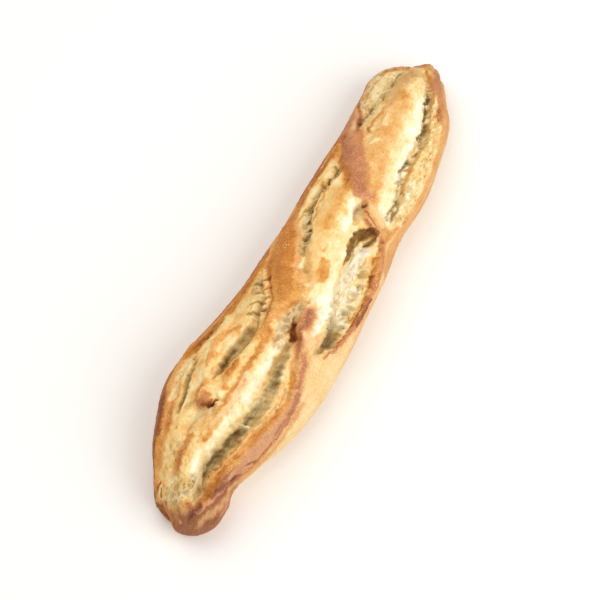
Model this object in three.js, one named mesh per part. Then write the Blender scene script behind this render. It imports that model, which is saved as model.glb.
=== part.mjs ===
// A short home-baked baguette, opened along three overlapping slanting cuts.
//
// Units are millimetres. +X runs along the loaf from its nose to its head, +Z is up, and the loaf
// lies on its flat base at Z = 0. The origin is under the middle of the loaf's box.
//
// The loaf is one solid. A plain dough skin is swept along a gently curved spine, and then each
// cut, ear, crust band and torn hollow is pressed into it or raised out of it as a stroke.
import * as THREE from "three";
import { ImprovedNoise } from "three/addons/math/ImprovedNoise.js";
import { mergeVertices } from "three/addons/utils/BufferGeometryUtils.js";

// Driving sizes of the plain dough.
const LENGTH = 347;
const NOSE_ROUNDING = 22; // how far from the nose its round end reaches
const HEAD_ROUNDING = 42;
const NOSE_POWER = 2.4; // 2 is an elliptic end, and more is blunter
const HEAD_POWER = 1.95;
const CROWN_POWER = 2.15; // the same for the upper half of a section
const BASE_POWER = 2.8;
const WIDEST_SHARE = 0.36; // the height of the widest place, as a share of the loaf's height
const BASE_SINK = 2; // how much of the rounded underside is pressed flat by the baking stone
const LEAST_GIRTH_RADIUS = 12;

// Where strokes fade out on the way down the sides, as angles from the crown.
const FADE_START = THREE.MathUtils.degToRad(95);
const FADE_END = THREE.MathUtils.degToRad(125);

// Facets: columns go round the loaf and rows along it, closer together on the crown.
const COLUMNS = 58;
const ROWS = 100;
const CROWN_COLUMNS_SHARE = 0.74;
const CROWN_REACH = THREE.MathUtils.degToRad(108);

// Uneven dough: broad swells, and crags where the crumb is torn.
const SWELL_HEIGHT = 0.7;
const SWELL_SPAN = 30;
const CRAG_HEIGHT = 1.1;
const CRAG_SPAN = 7;

// The spine: distance from the nose, and the loaf's middle across the box, half width and height there.
const STATIONS = [
  { x: 0, middle: 8.2, half: 18, height: 32 },
  { x: 12, middle: 8.2, half: 21, height: 37 },
  { x: 25, middle: 10.7, half: 23.5, height: 42 },
  { x: 37, middle: 13.7, half: 26.5, height: 45 },
  { x: 50, middle: 12.7, half: 32, height: 48 },
  { x: 75, middle: 8.7, half: 41, height: 53 },
  { x: 100, middle: 3.2, half: 43, height: 55 },
  { x: 125, middle: -2.3, half: 40.5, height: 55 },
  { x: 150, middle: -6.3, half: 38.5, height: 54 },
  { x: 175, middle: -8.8, half: 37, height: 53 },
  { x: 200, middle: -10.8, half: 35, height: 52 },
  { x: 225, middle: -11.8, half: 34, height: 51 },
  { x: 250, middle: -14.8, half: 35, height: 50 },
  { x: 275, middle: -16.8, half: 33, height: 48 },
  { x: 300, middle: -16.3, half: 31.5, height: 46 },
  { x: 325, middle: -14.8, half: 28, height: 42 },
  { x: 347, middle: -17.8, half: 23, height: 36 },
];

// Strokes lie on the skin as [distance from the nose, girth from the crown line, plus to the left].
// height is how far out of the skin they stand, or how deep they go if negative. left and right are
// the widths to each side, flat is the level share of that width, and lean pushes a lip sideways,
// plus to the left.
const STROKES = {
  // The band of whole crust between the nose cut and the middle cut.
  lowerBand: {
    path: [[126, 2], [148, 6], [165, 16], [182, 25], [198, 36], [208, 46]],
    height: 2.6, left: 8, right: 8, flat: 0.3,
  },
  // The band of whole crust between the middle cut and the head cut.
  upperBand: {
    path: [[222, -3], [240, 6], [258, 16], [275, 25], [292, 35], [304, 45]],
    height: 3.2, left: 7, right: 7.5, flat: 0.3,
  },

  // The nose cut: its swollen belly, the valley beside it and the ear that stands over the valley.
  noseBelly: {
    path: [[14, 2], [40, -1], [60, -4], [85, -6], [110, -5]],
    height: 2.4, left: 8, right: 7, flat: 0.2,
  },
  noseValley: {
    path: [[16, -6], [28, -9], [42, -11.5], [56, -15], [72, -18.5], [90, -18.5], [106, -14], [120, -10.5], [131, -8.5]],
    height: -8.5, left: 6.5, right: 8, flat: 0.25,
  },
  noseEar: {
    path: [[6, -8], [22, -15.5], [38, -22], [52, -27], [68, -30.5], [85, -31], [100, -27], [115, -19], [129, -12], [143, -7.5]],
    height: 3.8, left: 4.5, right: 9, flat: 0.1, lean: 2.2,
  },
  noseEarTip: {
    path: [[122, -14.5], [132, -10.5], [141, -7.5]],
    height: 2.6, left: 3.5, right: 5, flat: 0.2, lean: 1.5,
  },

  // Torn hollows and strips on the left of the nose cut.
  noseRim: {
    path: [[18, 25], [42, 28], [64, 32], [85, 38], [106, 43]],
    height: 1.8, left: 6, right: 4.5, flat: 0.2,
  },
  shallowHollow: {
    path: [[54, 15], [66, 18.5], [80, 23.5], [96, 28], [110, 33]],
    height: -3.4, left: 4.5, right: 4, flat: 0.1,
  },
  longHollow: {
    path: [[80, 8.5], [94, 10.5], [105, 11.5], [118, 11], [131, 12.5], [143, 17], [154, 24], [166, 33]],
    height: -5.6, left: 5, right: 4, flat: 0.2,
  },
  strip: {
    path: [[66, 7], [73, 9.5], [83, 15], [95, 21], [108, 26.5], [122, 32]],
    height: 3.2, left: 3.8, right: 3.8, flat: 0.1,
  },
  knob: {
    path: [[66.5, 8], [72.5, 9.5]],
    height: 2.8, left: 5, right: 5, flat: 0.3,
  },
  lowStrip: {
    path: [[72, 2], [86, 5], [100, 5], [118, 4.5], [132, 5]],
    height: 2, left: 4, right: 4, flat: 0.1,
  },
  knobPocket: {
    path: [[50, 10], [60, 8.5], [68, 4]],
    height: -3, left: 4.5, right: 4.5, flat: 0.2,
  },

  // The middle cut, with the deepest hollow of the loaf and a browned rim round its right side.
  middleTrough: {
    path: [[160, 3], [178, 10.5], [190, 15], [203, 22], [218, 23], [233, 20], [247, 24], [264, 33]],
    height: -3.6, left: 4.5, right: 5, flat: 0.2,
  },
  middlePanel: {
    path: [[146, -4], [172, 1], [198, 8], [224, 6]],
    height: 2, left: 8, right: 10, flat: 0.3,
  },
  middleHollow: {
    path: [[121, -27.5], [136, -31], [152, -31], [170, -28], [186, -24], [199, -19]],
    height: -11, left: 11, right: 10.5, flat: 0.42,
  },
  middleRim: {
    path: [[123, -32], [138, -39.5], [155, -44], [172, -44], [190, -40], [204, -31]],
    height: 3.2, left: 3.6, right: 7, flat: 0.1, lean: 2,
  },
  flap: {
    path: [[218, -9], [214, -18], [208, -27]],
    height: 3.4, left: 4, right: 4.5, flat: 0.2,
  },
  bandPocket: {
    path: [[204, -8], [212, -6.5], [221, -7.5]],
    height: -4.6, left: 4, right: 4, flat: 0.3,
  },

  // The head cut, with a narrow torn valley.
  headTrough: {
    path: [[270, 17], [286, 19], [304, 16], [322, 11]],
    height: -3, left: 7, right: 5, flat: 0.2,
  },
  headPanel: {
    path: [[240, -4], [262, 3], [288, 4], [316, -1]],
    height: 2.6, left: 9, right: 10, flat: 0.3,
  },
  headValley: {
    path: [[214, -29], [232, -28.5], [246, -20.5], [258, -16.5], [272, -17.5], [286, -17.5], [298, -12.5], [312, -12], [324, -8.5]],
    height: -6, left: 4.5, right: 4.5, flat: 0.2,
  },
  headRim: {
    path: [[222, -42], [250, -36], [275, -31], [300, -25]],
    height: 1.6, left: 9, right: 9, flat: 0.2,
  },
};
const PATH_STEPS = 4; // straight steps for each point of a stroke's path

const noise = new ImprovedNoise();

function smooth(from, to, value) {
  return THREE.MathUtils.smoothstep(value, from, to);
}

// One value of the stations at distance x, on a smooth curve through them.
function along(x, key) {
  const last = STATIONS.length - 1;
  let i = 0;
  while (i < last - 1 && x > STATIONS[i + 1].x) i += 1;
  const slope = (k) => {
    const a = STATIONS[Math.max(k - 1, 0)];
    const b = STATIONS[Math.min(k + 1, last)];
    return (b[key] - a[key]) / (b.x - a.x);
  };
  const [a, b] = [STATIONS[i], STATIONS[i + 1]];
  const span = b.x - a.x;
  const t = (x - a.x) / span;
  const t2 = t * t;
  const t3 = t2 * t;
  return (
    (2 * t3 - 3 * t2 + 1) * a[key] +
    (t3 - 2 * t2 + t) * span * slope(i) +
    (3 * t2 - 2 * t3) * b[key] +
    (t3 - t2) * span * slope(i + 1)
  );
}

// 1 along the loaf, falling to 0 at the very tips of its round ends.
function endFactor(x) {
  const nose = THREE.MathUtils.clamp(1 - x / NOSE_ROUNDING, 0, 1);
  const head = THREE.MathUtils.clamp(1 - (LENGTH - x) / HEAD_ROUNDING, 0, 1);
  const round = (share, power) => (1 - share ** power) ** (1 / power);
  return round(nose, NOSE_POWER) * round(head, HEAD_POWER);
}

// The sizes of the plain section at distance x from the nose.
function sectionAt(x) {
  const end = endFactor(x);
  const height = along(x, "height");
  const widest = WIDEST_SHARE * height;
  const half = along(x, "half") * end;
  const dome = (height - widest) * end;
  const girthRadius = Math.max(Math.hypot(half, dome) / Math.SQRT2, LEAST_GIRTH_RADIUS);
  return { middle: along(x, "middle"), half, dome, widest, end, girthRadius };
}

// The point of the plain skin at an angle from the crown, plus to the left.
function skinPoint(x, section, angle) {
  const cosine = Math.cos(angle);
  const sine = Math.sin(angle);
  const power = 2 / (cosine > 0 ? CROWN_POWER : BASE_POWER);
  const y = section.middle + section.half * Math.sign(sine) * Math.abs(sine) ** power;
  const rise = Math.abs(cosine) ** power;
  const z = cosine > 0
    ? section.widest + section.dome * rise
    : section.widest - (section.widest + BASE_SINK) * section.end * rise;
  return new THREE.Vector3(x, y, z);
}

// Which way is out of the skin there, across the spine.
function skinNormal(section, angle) {
  const y = Math.sin(angle) / Math.max(section.half, 1);
  const z = Math.cos(angle) / Math.max(section.dome, 1);
  return new THREE.Vector3(0, y, z).normalize();
}

// A stroke's path as a smooth chain of points.
function chainOf(path) {
  const curve = new THREE.SplineCurve(path.map(([x, g]) => new THREE.Vector2(x, g)));
  return curve.getPoints((path.length - 1) * PATH_STEPS);
}

// How far a place on the skin is from a chain, on which side, and the way across the chain.
function placeBeside(chain, x, g) {
  const found = { distance: Infinity, side: 1, across: new THREE.Vector2(0, 1) };
  for (let i = 0; i + 1 < chain.length; i += 1) {
    const [a, b] = [chain[i], chain[i + 1]];
    const step = new THREE.Vector2().subVectors(b, a);
    const offset = new THREE.Vector2(x - a.x, g - a.y);
    const t = THREE.MathUtils.clamp(offset.dot(step) / step.lengthSq(), 0, 1);
    const distance = offset.clone().addScaledVector(step, -t).length();
    if (distance < found.distance) {
      found.distance = distance;
      found.side = step.x * offset.y - step.y * offset.x >= 0 ? 1 : -1;
      found.across.set(-step.y, step.x).normalize();
    }
  }
  return found;
}

// What a stroke's profile is at a place: 1 on its line and 0 past its width.
// Every path runs from the nose towards the head, or is short enough for its sides not to matter.
function profileAt(stroke, beside) {
  const width = beside.side > 0 ? stroke.left : stroke.right;
  return 1 - smooth(stroke.flat, 1, beside.distance / width);
}

const CHAINS = Object.values(STROKES).map((stroke) => ({ stroke, chain: chainOf(stroke.path) }));

// Where the baked skin is, at distance x from the nose and an angle from the crown.
function bakedPoint(x, angle) {
  const section = sectionAt(x);
  const g = angle * section.girthRadius;
  const fade = 1 - smooth(FADE_START, FADE_END, Math.abs(angle));
  let lift = 0;
  let torn = 0;
  const push = new THREE.Vector2();
  for (const { stroke, chain } of CHAINS) {
    const beside = placeBeside(chain, x, g);
    const profile = profileAt(stroke, beside);
    lift += stroke.height * profile;
    if (stroke.height < 0) torn = Math.max(torn, profile);
    push.addScaledVector(beside.across, (stroke.lean ?? 0) * profile);
  }
  lift += SWELL_HEIGHT * noise.noise(x / SWELL_SPAN, g / SWELL_SPAN, 0.5);
  lift += CRAG_HEIGHT * torn * noise.noise(x / CRAG_SPAN, g / CRAG_SPAN, 3.5);
  const share = fade * section.end;
  const turn = (push.y * share) / section.girthRadius;
  const point = skinPoint(x, section, angle + turn);
  point.x += push.x * share;
  point.addScaledVector(skinNormal(section, angle), lift * share);
  point.z = Math.max(point.z, 0);
  return point;
}

// Turns an even share of the way along into a distance, with rows closer together at the ends.
function rowDistance(share) {
  const quarter = Math.PI / 2;
  const straight = LENGTH - NOSE_ROUNDING - HEAD_ROUNDING;
  const total = straight + quarter * (NOSE_ROUNDING + HEAD_ROUNDING);
  const nosePart = (quarter * NOSE_ROUNDING) / total;
  const headPart = (quarter * HEAD_ROUNDING) / total;
  if (share < nosePart) return NOSE_ROUNDING * (1 - Math.cos((quarter * share) / nosePart));
  if (share > 1 - headPart) {
    return LENGTH - HEAD_ROUNDING * (1 - Math.cos((quarter * (1 - share)) / headPart));
  }
  return NOSE_ROUNDING + (straight * (share - nosePart)) / (1 - nosePart - headPart);
}

// Turns an even turn of -1 to 1 round the loaf into an angle from the crown.
function columnAngle(turn) {
  const size = Math.abs(turn);
  const inCrown = size < CROWN_COLUMNS_SHARE;
  const past = (size - CROWN_COLUMNS_SHARE) / (1 - CROWN_COLUMNS_SHARE);
  const angle = inCrown
    ? (CROWN_REACH * size) / CROWN_COLUMNS_SHARE
    : CROWN_REACH + (Math.PI - CROWN_REACH) * past;
  return Math.sign(turn) * angle;
}

// A ball whose poles become the two tips, so that the baked skin closes on itself.
function loafGeometry() {
  const ball = new THREE.SphereGeometry(1, COLUMNS, ROWS);
  ball.deleteAttribute("normal");
  ball.deleteAttribute("uv");
  const merged = mergeVertices(ball, 1e-5);
  const position = merged.getAttribute("position");
  const vertex = new THREE.Vector3();
  for (let i = 0; i < position.count; i += 1) {
    vertex.fromBufferAttribute(position, i);
    const share = Math.acos(THREE.MathUtils.clamp(-vertex.y, -1, 1)) / Math.PI;
    const turn = Math.atan2(vertex.x, -vertex.z) / Math.PI;
    const point = bakedPoint(rowDistance(share), columnAngle(turn));
    position.setXYZ(i, point.x, point.y, point.z);
  }
  // The origin goes under the middle of the loaf's box.
  merged.computeBoundingBox();
  const centre = merged.boundingBox.getCenter(new THREE.Vector3());
  merged.translate(-centre.x, -centre.y, -merged.boundingBox.min.z);
  merged.computeVertexNormals();
  return merged;
}

const crust = new THREE.MeshStandardMaterial({ color: 0xe3a35c, roughness: 0.72, metalness: 0 });
const loaf = new THREE.Mesh(loafGeometry(), crust);
loaf.name = "loaf";

const baguette = new THREE.Group();
baguette.add(loaf);

export default baguette;
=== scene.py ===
"""A short home-baked baguette, torn open along three slanting cuts, on a pale floor.

The loaf is one piece. Its skin is a ball whose poles become the two tips: every vertex is moved onto
the plain dough's sections, and then strokes and crumb pores are pressed into it or raised out of it.
Other strokes say where the crust browned and where painted shade darkens it, and the material reads
them from the mesh.
"""

import math
from typing import NamedTuple

import bmesh
import bpy
import numpy as np
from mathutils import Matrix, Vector


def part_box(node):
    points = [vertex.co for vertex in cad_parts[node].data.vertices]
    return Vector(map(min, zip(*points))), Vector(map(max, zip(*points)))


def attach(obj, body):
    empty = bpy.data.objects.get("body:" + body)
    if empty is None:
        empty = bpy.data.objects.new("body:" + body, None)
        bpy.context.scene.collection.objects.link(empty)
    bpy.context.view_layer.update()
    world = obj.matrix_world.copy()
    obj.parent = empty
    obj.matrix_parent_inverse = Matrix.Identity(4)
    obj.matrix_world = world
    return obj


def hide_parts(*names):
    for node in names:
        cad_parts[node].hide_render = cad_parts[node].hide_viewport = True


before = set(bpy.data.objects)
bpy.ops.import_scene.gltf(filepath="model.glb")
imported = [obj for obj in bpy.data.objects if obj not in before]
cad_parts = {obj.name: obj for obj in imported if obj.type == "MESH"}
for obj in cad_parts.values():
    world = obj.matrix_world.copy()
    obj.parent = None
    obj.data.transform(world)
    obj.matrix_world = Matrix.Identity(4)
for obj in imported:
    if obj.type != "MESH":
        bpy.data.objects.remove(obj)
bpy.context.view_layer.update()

bl_info = {
    "name": "Baguette",
    "version": (1, 0, 0),
    "blender": (4, 5, 0),
    "location": "3D View > Sidebar > Baguette",
    "description": "Models a torn home-baked baguette and its studio",
    "category": "Add Mesh",
}

MM = 0.001
NODE = "loaf"

# The plain dough, with the same sizes in millimetres as the solid's own source.
LENGTH = (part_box(NODE)[1].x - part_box(NODE)[0].x) / MM
NOSE_ROUNDING = 22.0
HEAD_ROUNDING = 42.0
NOSE_POWER = 2.4
HEAD_POWER = 1.95
CROWN_POWER = 2.15
BASE_POWER = 2.8
WIDEST_SHARE = 0.36
BASE_SINK = 2.0
LEAST_GIRTH_RADIUS = 12.0
FADE_START = math.radians(95)
FADE_END = math.radians(125)
END_FADE = 0.5

# The spine: distance from the nose, and the loaf's middle across the box, half width and height there.
STATIONS = np.array([
    (0, 8.2, 18, 32),
    (12, 8.2, 21, 37),
    (25, 10.7, 23.5, 42),
    (37, 13.7, 26.5, 45),
    (50, 12.7, 32, 48),
    (75, 8.7, 41, 53),
    (100, 3.2, 43, 55),
    (125, -2.3, 40.5, 55),
    (150, -6.3, 38.5, 54),
    (175, -8.8, 37, 53),
    (200, -10.8, 35, 52),
    (225, -11.8, 34, 51),
    (250, -14.8, 35, 50),
    (275, -16.8, 33, 48),
    (300, -16.3, 31.5, 46),
    (325, -14.8, 28, 42),
    (347, -17.8, 23, 36),
])

# The skin's grid: columns go round the loaf and rows along it, closer together on the crown.
COLUMNS = 180
ROWS = 552
# How far round the loaf the columns have come, in degrees from the crown, at a turn of -1 to 1.
COLUMN_TURNS = (-1, -0.9, -0.74, 0.72, 0.84, 1)
COLUMN_DEGREES = (-180, -115, -74, 64, 95, 180)

# The steps in mm in which a form's path bends.
PATH_STEP = 2.0

# The looks that the forms change, with their values on plain crust. The dark look is painted shade, which
# darkens and greys a place.
LOOKS = {"bake": 0.5, "red": 0.3, "crumb": 0, "comb": 0, "pull": 0, "dark": 0}
# Those that the material reads. What pull does is in the relief, the bake and the painted shade.
READ_LOOKS = ("bake", "red", "crumb", "comb", "dark")

# Ripples of the dough, each as its height, its span in mm and its seed.
DOUGH_SWELL = (0.7, 30, 61)
EDGE_WANDER_ALONG = ((1.1, 6, 11), (0.8, 2.4, 12))
EDGE_WANDER_ROUND = ((1.1, 6, 13), (0.8, 2.4, 14))
OVEN_TONES = ((0.05, 14, 51), (0.04, 5, 52))
CRUMB_TUFTS = ((0.4, 5.5, 43), (0.35, 2.2, 41))
CRUMB_TONES = (0.12, 9, 54)
CRUMB_TONE_DRAW = 1.5
CRUST_BLISTERS = (0.2, 3, 42)
# Rounds of torn bubbles in honeycombed crumb: size and depth in mm, share that is open, and seed.
COMB_BUBBLES = ((4.2, 1.9, 0.55, 21), (2.4, 1.1, 0.6, 31))
COMB_TURN = math.radians(-24)
COMB_STRETCH = 1.5
# Sharp ridges on the crumb's tufts: how they turn and are drawn out, and where their sides sink away.
RIDGE_TURN = math.radians(28)
RIDGE_DRAW = 2.6
RIDGE_SPAN = 3.4
RIDGE_SEED = 44
RIDGE_HEIGHT = 0.9
RIDGE_LEVEL = 0.35
# Threads, each round as its height, span, seed and how far it is drawn out across the opening.
PULLED_THREADS = ((0.7, 3.4, 72, 4), (0.5, 1.7, 73, 3))
THREAD_BEND = (1.5, 9, 71)
THREAD_SLANT = 0.45
# Heights in mm, how much the tufts change the bake, and how much painted shade the bubbles put in their
# pores and the threads and tufts put in their dips and take off their tops.
THREAD_HEIGHT = 0.7
TUFT_HEIGHT = 0.4
TUFT_BAKE = 0.2
BUBBLE_PAINTED_SHADE = 0.5
THREAD_PAINTED_SHADE = 0.4
TUFT_PAINTED_SHADE = 0.15


class Stroke(NamedTuple):
    """A feature along a path. Height is in mm, or a depth if negative, and lean pushes it to the left.

    What is left out stays as it is: how brown and how red the crust is, how porous the crumb is, how
    honeycombed it is, how far it is pulled into threads, and how much painted shade darkens and greys a
    place, in hollows, pits, gaps and pores and on some crust near the tips. Share fades all of these.
    """

    path: tuple
    left: float
    right: float
    level: float = 0.25
    height: float = 0.0
    lean: float = 0.0
    bake: float = None
    red: float = None
    crumb: float = None
    comb: float = None
    pull: float = None
    dark: float = None
    share: float = 1.0


class Patch(NamedTuple):
    """A feature between two edges that run along the loaf, with how softly it starts at each."""

    left: tuple
    right: tuple
    left_soft: float
    right_soft: float
    height: float = 0.0
    bake: float = None
    red: float = None
    crumb: float = None
    comb: float = None
    pull: float = None
    dark: float = None
    share: float = 1.0


# Points here and in the forms are the distance from the nose and the girth from the crown line, plus
# to the left, in mm.
VALLEY_FOOT = ((12, -6), (22, -12.5), (30, -16), (40, -19), (50, -21), (60, -22), (70, -24.5),
               (80, -24.5), (90, -22.5), (100, -18.5), (110, -15.5), (120, -14), (130, -9))
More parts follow.
